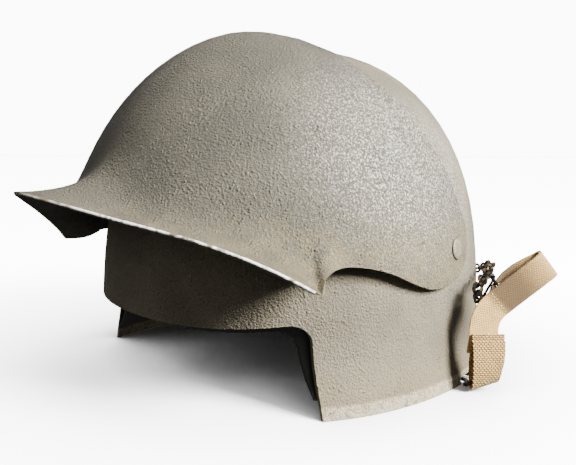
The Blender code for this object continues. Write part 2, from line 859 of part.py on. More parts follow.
def near_strap_path():
    """Middle line of the near strap up to its seam."""
    middle = STRAP_INSET + TAB_LIFT
    path = [(middle, height, depth, 90) for depth, height in strap_foot()]
    path.append((middle, STRAP_TOP_OF_RISE, path[-1][2], 90))
    return path + bend_path(middle, STRAP_TOP_OF_RISE, path[-1][2], STRAP_BEND, 6, STRAP_BEND_RADIUS)


def near_strap_sections(frame):
    """Edges of the near strap up its bend, out along the pull loop, round its end and back."""
    path = near_strap_path()
    base = path[-1]
    join = len(path) - 1
    path += [pull_place(base, share, 0.0, 0.0) for share in (0.08, 0.3, 0.55, 0.8, 1.0)]
    for degrees in (45, 90, 135):
        angle = math.radians(degrees)
        reach = 1.0 + PULL_OPENING / 2 / PULL_LENGTH * math.sin(angle)
        path.append(pull_place(base, reach, PULL_OPENING / 2 * (1 - math.cos(angle)), 0.0))
    path += [back_layer(base, share) for share in (1.0, 0.8, 0.6, 0.4, 0.2, 0.1)]
    sections = []
    for place in path:
        left, right = across_strap(*place)
        sections.append((frame @ left, frame @ right))
    return sections, join


def frame_place():
    """Centre of the metal frame, and its directions toward the near side and out of the bowl."""
    turn = math.radians(FRAME_TURN)
    centre = beside_bowl(turn, FRAME_STANDOFF, BACK_STRAP_Z)
    normal = plan_normal(turn)
    return centre, normal.cross(Vector((0, 0, 1))), normal


def back_strap_sections(frame):
    """Edges of the far strap up its bend, round the back, round the frame's bar and back."""
    middle = TAB_WIDTH / 2
    path = [(middle, height, depth, 90) for depth, height in strap_foot()]
    start = path[-1][1] + WEBBING
    path += bend_path(middle, start, path[-1][2], 90, 6, BACK_STRAP_Z - start)
    sections = []
    for place in path:
        left, right = across_strap(*place)
        sections.append((frame @ left, frame @ right))
    half = Vector((0, 0, STRAP_WIDTH / 2))
    centres = [beside_bowl(math.radians(turn), off, BACK_STRAP_Z) for turn, off in BACK_WAY[1:]]
    centre, toward_near, normal = frame_place()
    bar = centre - toward_near * FRAME_DEPTH / 2
    wrap = FRAME_WIRE / 2 + SEAT_GAP * 2 + WEBBING / 2
    start = bar - toward_near * STRAP_FOLD + normal * wrap
    join = len(sections) + len(centres)
    centres.append(start)
    centres += [start + toward_near * STRAP_FOLD * share for share in (0.15, 0.6, 1.0)]
    for degrees in (45, 90, 135):
        angle = math.radians(degrees)
        centres.append(bar + normal * wrap * math.cos(angle) + toward_near * wrap * math.sin(angle))
    for share in (1.0, 0.6, 0.2):
        gap = WEBBING + (2 * wrap - WEBBING) * math.sin(math.pi / 2 * share)
        centres.append(start + toward_near * STRAP_FOLD * share - normal * gap)
    sections += [(place + half, place - half) for place in centres]
    return [(right, left) for left, right in sections], join


def make_frame(steel):
    """Flat rectangle of wire between the far strap and the chain."""
    centre, toward_near, normal = frame_place()
    long_half = STRAP_WIDTH / 2 + FRAME_WIRE / 2 + 2 * SEAT_GAP
    corner = FRAME_WIRE
    path = []
    for side, end in ((1, 1), (-1, 1), (-1, -1), (1, -1)):
        wide = Vector((0, 0, end))
        deep = toward_near * side
        first = centre + deep * (FRAME_DEPTH / 2 - corner) + wide * long_half
        second = centre + deep * FRAME_DEPTH / 2 + wide * (long_half - corner)
        path += [second, first] if side * end < 0 else [first, second]
    order = [1, 0, 3, 2, 5, 4, 7, 6]
    path = [path[index] for index in order]
    add_object("strap_frame", wire_mesh("strap_frame", path, normal, FRAME_WIRE / 2, 6), steel)


def make_chain(frame, steel, strap):
    """Keeper through the pull loop's eyelet, long ring, and links to the frame on the far strap."""
    turned = frame.to_3x3()
    base = near_strap_path()[-1]
    place = back_layer(base, EYELET_PLACE)
    left, right = across_strap(*place)
    edge = (left - right).normalized()
    eyelet = left - edge * EYELET_INSET
    out = Vector((0, 0, 1))
    hole = lathe_mesh(
        "eyelet",
        [(0, -WEBBING), (EYELET_RADIUS, -WEBBING), (EYELET_RADIUS, WEBBING), (0, WEBBING)],
        frame @ eyelet, turned @ out, 12,
    )
    cut(strap, hidden_cutter("eyelet", hole))
    reach = (KEEPER_LENGTH - KEEPER_WIRE) / 2
    keeper_centre = eyelet + edge * reach
    path = stadium(frame @ keeper_centre, turned @ edge, turned @ out, KEEPER_LENGTH, KEEPER_WIDTH, KEEPER_WIRE)
    normal = (turned @ edge).cross(turned @ out)
    add_object("chain_keeper", wire_mesh("chain_keeper", path, normal, KEEPER_WIRE / 2, 5), steel)
    angle = math.radians(RING_HEADING)
    down = Vector((math.cos(angle), math.sin(angle), 0))
    square = Vector((down.y, -down.x, 0))
    tilt = math.radians(RING_TILT)
    short = square * math.cos(tilt) - out * math.sin(tilt)
    ring_normal = out * math.cos(tilt) + square * math.sin(tilt)
    hang = RING_LENGTH / 2 - RING_WIRE - KEEPER_WIRE / 2 - SEAT_GAP
    ring_centre = keeper_centre + edge * reach + down * hang
    path = stadium(frame @ ring_centre, turned @ down, turned @ short, RING_LENGTH, RING_WIDTH, RING_WIRE)
    add_object("chain_ring", wire_mesh("chain_ring", path, turned @ ring_normal, RING_WIRE / 2, 5), steel)
    ring_end = ring_centre + down * (RING_LENGTH - RING_WIRE) / 2
    pitch = LINK_LENGTH - 2 * LINK_WIRE - 2 * SEAT_GAP
    away = turned @ ring_normal
    first = frame @ (ring_end - ring_normal * (RING_WIRE + SEAT_GAP) / 2)
    centre, toward_near, _ = frame_place()
    onward = beside_bowl(math.radians(CHAIN_WAY[1][0]), CHAIN_WAY[1][1], CHAIN_WAY[1][2]) - first
    way = [first, first + (away * CHAIN_LEAN + onward.normalized()).normalized() * pitch]
    for turn, standoff, z in CHAIN_WAY[1:]:
        way.append(beside_bowl(math.radians(turn), standoff, z))
    way.append(centre + toward_near * (FRAME_DEPTH - FRAME_WIRE - SEAT_GAP) / 2)
    joints = even_path(way, pitch)
    links = list(zip(joints, joints[1:]))
    first_along = (joints[1] - joints[0]).normalized()
    first_up = upright(first_along)
    start_normal = turned @ short
    first_roll = math.atan2(start_normal.dot(first_along.cross(first_up)), start_normal.dot(first_up))
    last_roll = math.pi / 2 * (len(links) - 1)
    twist = (first_roll - last_roll + math.pi / 2) % math.pi - math.pi / 2
    for index, (near, far) in enumerate(links):
        back = len(links) - 1 - index
        along = (far - near).normalized()
        roll = math.pi / 2 * back + twist * back / (len(links) - 1)
        up = upright(along)
        link_normal = up * math.cos(roll) + along.cross(up) * math.sin(roll)
        middle = (near + far) / 2
        path = stadium(middle, along, along.cross(link_normal), LINK_LENGTH, LINK_WIDTH, LINK_WIRE)
        name = f"chain_link_{index + 1:02d}"
        add_object(name, wire_mesh(name, path, link_normal, LINK_WIRE / 2, 5), steel)


def upright(along):
    """Direction nearest to straight up that is square to another."""
    return (Vector((0, 0, 1)) - along * along.z).normalized()


def bail_span(side):
    """Distance between a bail's legs where they pass under the rim."""
    return BAIL_SPAN if side > 0 else FAR_BAIL_SPAN


def rim_place(side):
    """Place on the rim over a bail, with its outward and rearward directions."""
    turn = math.radians(BAIL_TURN if side > 0 else FAR_BAIL_TURN)
    normal = plan_normal(turn)
    tangent = Vector((-normal.y, normal.x, 0))
    rim = Vector(bowl_wall_point(turn, 0.0))
    if side < 0:
        return mirrored(rim), mirrored(normal), mirrored(tangent)
    return rim, normal, tangent


def bail_path(frame, side):
    """Way of a bail through its tab's foot, under the rim and inside the skirt."""
    rim, normal, tangent = rim_place(side)
    reach = BAIL_REACH if side > 0 else FAR_BAIL_REACH
    depth = TAB_DEPTH * 0.49
    low = TAB_LIFT + TAB_HEIGHT * 0.03 + WEBBING / 2 + BAIL_WIRE_RADIUS + 3 * SEAT_GAP
    slope = TAB_BOTTOM_TILT / (TAB_WIDTH * (1 - TAB_BOTTOM_TAPER))
    ends = []
    for along in (-reach, TAB_WIDTH / 2, TAB_WIDTH * (1 - TAB_BOTTOM_TAPER) + reach):
        ends.append(frame @ Vector((along, low + slope * along, depth)))
    under = Vector((0, 0, BAIL_WIRE_RADIUS + 2 * SEAT_GAP))
    half = tangent * bail_span(side) / 2
    outside = normal * 0.003
    inside = -normal * BAIL_INSIDE
    inner = Vector((0, 0, BAIL_INNER_Z))
    start, middle, end = ends
    path = [start, middle, end]
    path += [rim + half + outside + under, rim + half * 0.9 - outside * 1.8 + under]
    path += [rim + half * 0.8 + inside + inner, rim - half * 0.8 + inside + inner]
    path += [rim - half * 0.9 - outside * 1.8 + under, rim - half + outside + under]
    return rounded(path, 2)


def make_bail(name, frame, side, steel, bowl):
    """Wire bail under the rim, the relief in the rim over it and the clip that holds it inside."""
    wire = wire_mesh(name, bail_path(frame, side), Vector((0, 0, 1)), BAIL_WIRE_RADIUS, 5)
    add_object(name, wire, steel)
    rim, normal, tangent = rim_place(side)
    half = bail_span(side) / 2 + 3 * BAIL_WIRE_RADIUS
    arch = [(-half, -0.004), (-half, 0.4 * RELIEF_HEIGHT), (-0.8 * half, RELIEF_HEIGHT)]
    arch += [(-along, up) for along, up in arch[::-1]]
    deep = 4 * BOWL_WALL
    relief = prism_along(f"relief_{name}", arch, rim, tangent, normal, deep)
    cut(bowl, hidden_cutter(relief.name, relief))
    clip_half = CLIP_LENGTH / 2
    bottom = BAIL_INNER_Z - CLIP_HEIGHT / 2
    top = BAIL_INNER_Z + CLIP_HEIGHT / 2
    block = [(-clip_half, bottom), (-clip_half, top), (clip_half, top), (clip_half, bottom)]
    near, far = BOWL_WALL + CLIP_GAP, BAIL_INSIDE + BAIL_WIRE_RADIUS + 0.0015
    middle = rim - normal * (near + far) / 2
    clip_name = name.replace("bail", "bail_clip")
    clip = add_object(clip_name, prism_along(clip_name, block, middle, tangent, normal, (far - near) / 2), steel)
    centre = rim - normal * BAIL_INSIDE + Vector((0, 0, BAIL_INNER_Z))
    radius = BAIL_WIRE_RADIUS + 2 * SEAT_GAP
    ends = [(0, -2 * clip_half), (radius, -2 * clip_half), (radius, 2 * clip_half), (0, 2 * clip_half)]
    bore = lathe_mesh(f"bore_{clip_name}", ends, centre, tangent, 12)
    cut(clip, hidden_cutter(bore.name, bore))


def prism_along(name, outline, place, across, direction, half_depth):
    """Prism of an outline drawn across and up, reaching both ways along a direction."""
    work = bmesh.new()
    near, far = [], []
    for along, up in outline:
        corner = Vector((place.x, place.y, up)) + across * along
        near.append(work.verts.new(corner + direction * half_depth))
        far.append(work.verts.new(corner - direction * half_depth))
    work.faces.new(near)
    work.faces.new(far[::-1])
    for index in range(len(outline)):
        after = (index + 1) % len(outline)
        work.faces.new((near[index], far[index], far[after], near[after]))
    return finish_mesh(name, work)


def even_path(points, pitch):
    """Points evenly spaced, a pitch or less apart, along a smooth way through given points."""
    dense = []
    padded = [points[0] * 2 - points[1]] + points + [points[-1] * 2 - points[-2]]
    for index in range(1, len(padded) - 2):
        before, start, end, after = padded[index - 1:index + 3]
        for step in range(24):
            share = step / 24
            dense.append(0.5 * (
                start * 2 + (end - before) * share
                + (before * 2 - start * 5 + end * 4 - after) * share ** 2
                + (start * 3 - before - end * 3 + after) * share ** 3
            ))
    dense.append(points[-1])
    lengths = [0.0]
    for near, far in zip(dense, dense[1:]):
        lengths.append(lengths[-1] + (far - near).length)
    gaps = math.ceil(lengths[-1] / pitch)
    places = []
    for step in range(gaps + 1):
        target = lengths[-1] * step / gaps
        index = min(sum(length <= target for length in lengths) - 1, len(dense) - 2)
        share = (target - lengths[index]) / (lengths[index + 1] - lengths[index])
        places.append(dense[index].lerp(dense[index + 1], share))
    return places


def set_on_pivot(obj):
    """Puts an object's origin on the plate's pivot axis and leaves its shape where it is."""
    pivot = Vector((0, PIVOT_Y, PIVOT_Z))
    obj.data.transform(Matrix.Translation(-pivot))
    obj.location = pivot


def main():
    clear_scene()
    steel_paint = material("grit_paint", (0.35, 0.33, 0.27), 0.75, 0.0)
    plate_paint = material("plate_grit_paint", (0.36, 0.33, 0.26), 0.75, 0.0)
    liner_paint = material("liner_paint", (0.42, 0.36, 0.25), 0.7, 0.0)
    rivet_paint = material("rivet_paint", (0.45, 0.40, 0.30), 0.6, 0.0)
    black_steel = material("black_steel", (0.02, 0.02, 0.02), 0.3, 1.0)
    coarse_webbing = material("coarse_webbing", (0.60, 0.50, 0.32), 0.9, 0.0)
    fine_webbing = material("fine_webbing", (0.66, 0.55, 0.36), 0.9, 0.0)
    bowl = make_bowl(steel_paint)
    plate = make_front_plate(plate_paint)
    make_liner(liner_paint)
    make_rivet("rivet_left", 1, rivet_paint, bowl, plate)
    make_rivet("rivet_right", -1, rivet_paint, bowl, plate)
    for name in ("front_plate", "rivet_left", "rivet_right"):
        set_on_pivot(bpy.data.objects[name])
    near = frame_at((NEAR_TAB_X, NEAR_TAB_Y, 0), math.radians(NEAR_TAB_HEADING))
    add_object("tab_left", band_mesh("tab_left", tab_sections(near), WEBBING), coarse_webbing)
    far_heading = math.radians(FAR_TAB_HEADING)
    far = Matrix.Diagonal((-1, 1, 1, 1)) @ frame_at((FAR_TAB_X, FAR_TAB_Y, 0), far_heading)
    add_object("tab_right", band_mesh("tab_right", tab_sections(far), WEBBING), coarse_webbing)
    sections, join = near_strap_sections(near)
    strap = add_object("pull_strap", band_mesh("pull_strap", sections, WEBBING, join), fine_webbing)
    sections, join = back_strap_sections(far)
    add_object("back_strap", band_mesh("back_strap", sections, WEBBING, join), fine_webbing)
    make_bail("bail_left", near, 1, black_steel, bowl)
    make_bail("bail_right", far, -1, black_steel, bowl)
    make_frame(black_steel)
    make_chain(near, black_steel, strap)


main()
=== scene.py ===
"""Looks of the two-plate steel helmet: gritty worn paint, cotton webbing and blackened chain."""

import math

import bmesh
import bpy
from mathutils import Matrix, Vector
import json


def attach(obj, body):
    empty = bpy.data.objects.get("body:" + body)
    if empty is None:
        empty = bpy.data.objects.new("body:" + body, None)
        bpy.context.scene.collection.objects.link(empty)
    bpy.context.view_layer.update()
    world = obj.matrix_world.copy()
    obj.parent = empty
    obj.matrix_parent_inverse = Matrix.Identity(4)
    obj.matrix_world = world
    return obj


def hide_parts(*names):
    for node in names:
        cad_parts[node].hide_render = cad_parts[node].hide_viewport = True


MM = 0.001
WHITE = (1.0, 1.0, 1.0, 1.0)
BLACK = (0.0, 0.0, 0.0, 1.0)

# Camera, worked out from the photo's perspective
CAMERA_PLACE = (0.3877, -0.3003, 0.1412)
CAMERA_TARGET = (-0.0024, 0.0212, 0.0823)
CAMERA_LENS = 49.07
CAMERA_SENSOR = 36
CAMERA_SHIFT_X = 0.0122
CAMERA_SHIFT_Y = -0.0051
CAMERA_ROLL = 0.17

# Lights, in metres and watts, and the strength of the surroundings below and above the horizon
LIGHT_TARGET = (0.0, 0.0, 0.1)
KEY_PLACE = (1.32, 0.36, 0.85)
KEY_SIZE = 0.6
KEY_POWER = 215
FILL_PLACE = (-0.5, -1.4, 0.7)
FILL_SIZE = 1.2
FILL_POWER = 3
WORLD_LOW = 0.10
WORLD_HIGH = 0.45

# Floor and wall. The floor glows less near the helmet and where the helmet shades it
FLOOR_REACH = 6.0
FLOOR_DROP = 0.0002
FLOOR_GLOW_NEAR = 5.5
FLOOR_GLOW_FAR = 10.5
SHADE_REACH = 0.17
WALL_PLACE = (-4.4, 3.6, 0)
WALL_HEADING = 50.5
WALL_HALF_WIDTH = 9.0
WALL_TOP = 9.0
WALL_BOTTOM = -0.1
WALL_GLOW = 11.0

# Heights where the paint changes, in metres
RIM_BAND_TOP = 0.0075
# Tan dust, partly a painted highlight on surfaces that face up, is full and gone at these heights
BOWL_DUST_AND_HIGHLIGHT_FULL = 0.0
BOWL_DUST_AND_HIGHLIGHT_NONE = 0.030
PLATE_DUST_AND_HIGHLIGHT_FULL = 0.072
PLATE_DUST_AND_HIGHLIGHT_NONE = 0.116
# The front of the brim, where the dust and painted highlight are palest, starts and is fully reached at
# these y
FRONT_DUST_AND_HIGHLIGHT_NONE = -0.085
FRONT_DUST_AND_HIGHLIGHT_FULL = -0.140

# Middles of the rubbed patches, and how far from them the rubbing is full and ends
BOWL_WORN_PLACE = (0.12, 0.05, 0.12)
PLATE_WORN_PLACE = (0.10, 0.02, 0.13)
WORN_FULL = 0.015
WORN_NONE = 0.090

# Faces of a smooth copy that meet at more than this, in degrees, keep their edge
SMOOTH_ANGLE = 38
# Sheets whose copies are subdivided once
ROUNDED = ("bowl", "front_plate")
JOIN_FLAT_ANGLE = 14
JOIN_SHAPE_ANGLE = 60

# Rivet head as it lies on the plate, and how far round it the sheets keep the CAD's shape
RIVET_BASE = (0.1099, 0.0584, 0.0788)
RIVET_AXIS = (0.93, 0.36, 0.07)
RIVET_FLATNESS = 0.55
RIVET_GAP = 0.0005
SEAT_RADIUS = 0.008

# Bead along the brim, bare metal with a painted highlight, which ends at this y on both sides
BRIM_END_Y = -0.0665
BRIM_EDGE_ANGLE = 60
BEAD_RADIUS = 0.0008
BEAD_LIFT = 0.0003
# The bead's middle is the mean of this many neighbouring corners of the sheet's two edges
BEAD_SPAN = 4

# Near tab's plane, the lean of the pull loop in it, and the seam at the foot of the loop
NEAR_TAB_PLACE = (0.1295, 0.0510, 0.0)
NEAR_TAB_HEADING = 53.13
PULL_HEADING = 38.0
SEAM_ALONG = 0.0147
SEAM_UP = 0.0506
SEAM_DEPTH = 0.0057
STITCHES = 7
STITCH_PITCH = 0.0021
STITCH_LENGTH = 0.5 * STITCH_PITCH
STITCH_RADIUS = 0.00022

# Webbing: pitches and reliefs in millimetres, colours, and where the painted shade starts along the pull
# loop
TAB_PITCH = 2.0
TAB_RELIEF = 0.7
TAB_PALE = "#b8955a"
TAB_DEEP = "#6d5430"
STRAP_PITCH = 1.3
STRAP_RELIEF = 0.3
STRAP_PALE = "#dcb673"
STRAP_DEEP = "#96733e"
PULL_PAINTED_SHADE_FROM = 0.176
# A reach so far that the painted shade never starts
NO_PAINTED_SHADE = 9.0

# How much fuller the chain's wire is than its few flat sides
WIRE_FULLNESS = 0.00022


def colour(text):
    """Linear colour of an sRGB hex."""
    parts = [int(text[i:i + 2], 16) / 255 for i in (1, 3, 5)]
    linear = [p / 12.92 if p <= 0.04045 else ((p + 0.055) / 1.055) ** 2.4 for p in parts]
    return (*linear, 1.0)


def add(tree, kind, links=None, **settings):
    """Adds a node, sets its properties and inputs, and links the given sockets into it."""
    node = tree.nodes.new(kind)
    for key, value in settings.items():
        if hasattr(node, key):
            setattr(node, key, value)
        else:
            node.inputs[key.replace("_", " ")].default_value = value
    for key, socket in (links or {}).items():
        tree.links.new(socket, node.inputs[key])
    return node


def calc(tree, operation, first, second=None):
    """Adds a sum on values or sockets and returns its result."""
    node = tree.nodes.new("ShaderNodeMath")
    node.operation = operation
    for index, value in enumerate((first, second)):
        if value is None:
            continue
        if isinstance(value, (int, float)):
            node.inputs[index].default_value = value
        else:
            tree.links.new(value, node.inputs[index])
    return node.outputs[0]


def ramp(tree, value, low, high, start=0.0, end=1.0):
    """Takes a value from a range to another, clamped and eased."""
    node = tree.nodes.new("ShaderNodeMapRange")
    node.interpolation_type = "SMOOTHSTEP"
    tree.links.new(value, node.inputs[0])
    for index, number in enumerate((low, high, start, end)):
        node.inputs[index + 1].default_value = number
    return node.outputs[0]


def mix(tree, share, first, second):
    """Mixes two colours by a share."""
    node = tree.nodes.new("ShaderNodeMix")
    node.data_type = "RGBA"
    for index, value in ((0, share), (6, first), (7, second)):
        if isinstance(value, (int, float, tuple)):
            node.inputs[index].default_value = value
        else:
            tree.links.new(value, node.inputs[index])
    return node.outputs[2]


def cover(tree, base, mask, strength, text):
    """Lays a colour over the base where a mask says, at a strength."""
    return mix(tree, calc(tree, "MULTIPLY", mask, strength), base, colour(text))


def noise(tree, place, size_mm, detail=2.0, roughness=0.5):
    """Cloudy noise whose lumps are about a size in millimetres."""
    scale = 1 / (size_mm * MM)
    node = add(tree, "ShaderNodeTexNoise", {"Vector": place}, Scale=scale, Detail=detail)
    node.inputs["Roughness"].default_value = roughness
    return node.outputs[0]


def split(tree, vector):
    """Splits a vector into its x, y and z."""
    return add(tree, "ShaderNodeSeparateXYZ", {0: vector}).outputs


def start_material(name, roughness, metallic=0.0, specular=0.5):
    """Principled material, with its tree, its shader and the place on the piece at hand."""
    made = bpy.data.materials.new(name)
    made.use_nodes = True
    tree = made.node_tree
    shader = next(node for node in tree.nodes if node.type == "BSDF_PRINCIPLED")
    shader.inputs["Roughness"].default_value = roughness
    shader.inputs["Metallic"].default_value = metallic
    shader.inputs["Specular IOR Level"].default_value = specular
    place = tree.nodes.new("ShaderNodeTexCoord").outputs["Object"]
    return made, tree, shader, place


def paint_with(tree, shader, socket):
    """Gives the shader its colour."""
    tree.links.new(socket, shader.inputs["Base Color"])


def bump(tree, shader, height, depth_mm, strength=1.0):
    """Relief of a depth in millimetres from a height between 0 and 1."""
    depth = depth_mm * MM
    node = add(tree, "ShaderNodeBump", {"Height": height}, Strength=strength, Distance=depth)
    tree.links.new(node.outputs[0], shader.inputs["Normal"])


def gritty_paint(name, deep, pale, grit, worn_place, dust_and_highlight_full, dust_and_highlight_none):
    """Olive grey paint with sand in it, rubbed light on the near side, and paler low down and on the
    front of the brim, partly dust and partly painted highlight.
    """
    made, tree, shader, place = start_material(name, 0.62)
    axes = split(tree, place)
    # Slow patches keep the paint from looking even
    cloud = noise(tree, place, 38, 3)
    base = mix(tree, ramp(tree, cloud, 0.35, 0.65), colour(deep), colour(pale))
    # Rubbed patch where hands lift the plate
    away = add(tree, "ShaderNodeVectorMath", {0: place}, operation="DISTANCE")
    away.inputs[1].default_value = worn_place
    near = ramp(tree, away.outputs["Value"], WORN_NONE, WORN_FULL)
    speck = noise(tree, place, 1.1, 5, 0.75)
    rubbed = calc(tree, "MULTIPLY", near, ramp(tree, speck, 0.50, 0.60))
    base = cover(tree, base, rubbed, 0.92, "#c2bfb4")
    # Tan dust along the lower edges, which is also a painted highlight where the flared surfaces face up
    # to the light; palest on the front of the brim
    low = ramp(tree, axes[2], dust_and_highlight_none, dust_and_highlight_full)
    patches = ramp(tree, noise(tree, place, 9, 4, 0.6), 0.22, 0.72)
    dust_and_highlight = calc(tree, "MULTIPLY", low, patches)
    base = cover(tree, base, dust_and_highlight, 0.62, "#726442")
    # Painted highlight: the front of the brim is made paler still
    front = calc(tree, "MULTIPLY", dust_and_highlight, ramp(tree, axes[1], FRONT_DUST_AND_HIGHLIGHT_NONE, FRONT_DUST_AND_HIGHLIGHT_FULL))
    base = cover(tree, base, front, 0.9, "#a3956f")
    # Sand grains stand up, alone and in crowds
    grain = noise(tree, place, 1.3, 3, 0.65)
    cells = add(tree, "ShaderNodeTexVoronoi", {"Vector": place}, Scale=1 / (2.3 * MM))
    crowd = ramp(tree, noise(tree, place, 10, 3, 0.6), 0.40, 0.62)
    lump = calc(tree, "MULTIPLY", ramp(tree, cells.outputs["Distance"], 0.42, 0.05), crowd)
    fine = calc(tree, "MULTIPLY", ramp(tree, grain, 0.35, 0.75), 0.6)
    height = calc(tree, "ADD", fine, calc(tree, "MULTIPLY", lump, 0.8))
    # Their feet hold dark dirt and their tips are rubbed
    base = cover(tree, base, ramp(tree, grain, 0.42, 0.30), 0.85 * grit, "#1d1a13")
    base = cover(tree, base, ramp(tree, grain, 0.62, 0.74), 0.6 * grit, "#928d7e")
    # Bare worn metal on the rim band
    rim = ramp(tree, axes[2], RIM_BAND_TOP, RIM_BAND_TOP - 2 * MM)
    bare = calc(tree, "MULTIPLY", rim, ramp(tree, noise(tree, place, 3, 4, 0.65), 0.25, 0.62))
    base = cover(tree, base, bare, 0.7, "#a89c84")
    paint_with(tree, shader, base)
    rough = calc(tree, "SUBTRACT", 0.66, calc(tree, "MULTIPLY", rubbed, 0.26))
    tree.links.new(rough, shader.inputs["Roughness"])
    bump(tree, shader, height, 1.2 * grit)
    return made


def dark_paint(name):
    """Near-black paint of the liner, which is also painted shade where the liner lies in the shell's
    shadow, with soft wear.
    """
    made, tree, shader, place = start_material(name, 0.42)
    cloud = noise(tree, place, 14, 4, 0.6)
    paint_with(tree, shader, mix(tree, cloud, colour("#0d0d0c"), colour("#2b2924")))
    bump(tree, shader, noise(tree, place, 1.2, 2), 0.08, 0.5)
    return made


def rivet_paint(name):
    """Paint on the rivet heads, uneven with dirt."""
    made, tree, shader, place = start_material(name, 0.5)
    cloud = noise(tree, place, 2.2, 3, 0.6)
    dirt = ramp(tree, cloud, 0.4, 0.62)
    paint_with(tree, shader, mix(tree, dirt, colour("#544d3d"), colour("#6d6756")))
    bump(tree, shader, cloud, 0.15, 0.6)
    return made


def black_steel(name):
    """Blackened steel with brassy patches laid by noise, partly rubbed metal and partly painted glints.
    """
    made, tree, shader, place = start_material(name, 0.42, 0.6)
    # Painted glints: brassy patches on the dark steel
    rubbed_and_glint = ramp(tree, noise(tree, place, 2.4, 3, 0.6), 0.50, 0.64)
    paint_with(tree, shader, mix(tree, rubbed_and_glint, colour("#0e0c0a"), colour("#6d5a38")))
    bump(tree, shader, noise(tree, place, 0.8, 2), 0.05, 0.5)
    return made


def ridge(tree, count):
    """Height between 0 and 1 that rises once for each whole step of a count."""
    return calc(tree, "ABSOLUTE", calc(tree, "SINE", calc(tree, "MULTIPLY", count, math.pi)))


def webbing(name, heading, lean, pitch_mm, relief_mm, pale, deep, shade_from):
    """Cotton webbing woven square to the strap, its threads at a pitch in millimetres."""
    made, tree, shader, place = start_material(name, 0.92, 0.0, 0.2)
    shader.inputs["Sheen Weight"].default_value = 0.12
    turn = add(tree, "ShaderNodeVectorRotate", {"Vector": place}, rotation_type="Z_AXIS")
    turn.inputs["Angle"].default_value = math.radians(-heading)
    turned = turn.outputs[0]
    flat = add(tree, "ShaderNodeVectorRotate", {"Vector": turned}, rotation_type="Y_AXIS")
    flat.inputs["Angle"].default_value = math.radians(lean)
    axes = split(tree, flat.outputs[0])
    pitch = pitch_mm * MM
    wobble = calc(tree, "MULTIPLY", noise(tree, place, 3.0, 2), 0.5 * pitch)
    # Rows of short thread ends, each row shifted by half a thread from the one below
    up = calc(tree, "ADD", axes[2], calc(tree, "MULTIPLY", wobble, 0.3))
    row = calc(tree, "DIVIDE", up, 0.6 * pitch)
    shift = calc(tree, "MULTIPLY", calc(tree, "FLOOR", row), 0.5)
    along = calc(tree, "DIVIDE", calc(tree, "ADD", axes[0], wobble), pitch)
    along = calc(tree, "ADD", along, shift)
    share = ramp(tree, calc(tree, "MULTIPLY", ridge(tree, along), ridge(tree, row)), 0.0, 0.75)
    base = mix(tree, share, colour(deep), colour(pale))
    cloud = noise(tree, place, 6, 3)
    base = cover(tree, base, ramp(tree, cloud, 0.35, 0.7), 0.25, "#7d5c30")
    # Painted shade: the end that is pulled by hand is coloured darker where it faces away from the light,
    # most of all near the seam
    upright = split(tree, turned)
    reach = calc(tree, "ADD", upright[0], upright[2])
    start = ramp(tree, reach, shade_from, shade_from + 0.012)
    fade = ramp(tree, reach, shade_from + 0.060, shade_from + 0.028, 0.35, 1.0)
    base = cover(tree, base, calc(tree, "MULTIPLY", start, fade), 0.92, "#42321d")
    paint_with(tree, shader, base)
    fuzz = calc(tree, "ADD", share, calc(tree, "MULTIPLY", noise(tree, place, 0.35, 2), 0.5))
    bump(tree, shader, fuzz, relief_mm, 0.8)
    return made


def plain_thread():
    """Pale waxed thread of the seam."""
    made, tree, shader, place = start_material("pale_thread", 0.7, 0.0, 0.3)
    twist = noise(tree, place, 0.5, 2)
    paint_with(tree, shader, mix(tree, twist, colour("#a58c58"), colour("#d6c293")))
    bump(tree, shader, twist, 0.05, 0.6)
    return made


def edge_metal():
    """Bare metal where the plate's edge is rubbed, with paint left in patches, and a painted highlight
    that makes it lightest on the near side.
    """
    made, tree, shader, place = start_material("edge_metal", 0.45, 0.0, 0.6)
    patch = ramp(tree, noise(tree, place, 4, 4, 0.6), 0.36, 0.58)
    # Painted highlight: lighter towards the near side, where the light falls
    side = ramp(tree, split(tree, place)[0], 0.005, 0.060, 0.15, 1.0)
    rubbed = calc(tree, "MULTIPLY", patch, side)
    paint_with(tree, shader, mix(tree, rubbed, colour("#544b38"), colour("#e2ded4")))
    bump(tree, shader, patch, 0.1, 0.6)
    return made


def floor_material():
    """Pale floor that glows less near the helmet, with a painted contact shadow where the helmet shades
    it.
    """
    made, tree, shader, place = start_material("pale_floor", 0.9, 0.0, 0.2)
    shader.inputs["Base Color"].default_value = colour("#fafafa")
    shader.inputs["Emission Color"].default_value = WHITE
    # The glow fades where the helmet shades the floor, which leaves a soft contact shadow
    shade = tree.nodes.new("ShaderNodeAmbientOcclusion")
    shade.samples = 24
    shade.inputs["Distance"].default_value = SHADE_REACH
    open_sky = ramp(tree, shade.outputs["AO"], 0.39, 1.0)
    away = add(tree, "ShaderNodeVectorMath", {0: place}, operation="LENGTH").outputs["Value"]
    spread = ramp(tree, away, 0.10, 0.50, FLOOR_GLOW_NEAR, FLOOR_GLOW_FAR)
    glow = calc(tree, "MULTIPLY", open_sky, spread)
    tree.links.new(glow, shader.inputs["Emission Strength"])
    return made


def backdrop_material():
    """Plain white wall that glows evenly."""
    made, _, shader, _ = start_material("white_wall", 1.0, 0.0, 0.0)
    shader.inputs["Base Color"].default_value = BLACK
    shader.inputs["Emission Color"].default_value = WHITE
    shader.inputs["Emission Strength"].default_value = WALL_GLOW
    return made


def place_object(name, data):
    """Puts a mesh, curve, light or camera in the scene."""
    made = bpy.data.objects.new(name, data)
    bpy.context.scene.collection.objects.link(made)
    return made


def axle_distance(place):
    """Distance from the line through both rivets."""
    return math.hypot(place.y - RIVET_BASE[1], place.z - RIVET_BASE[2])


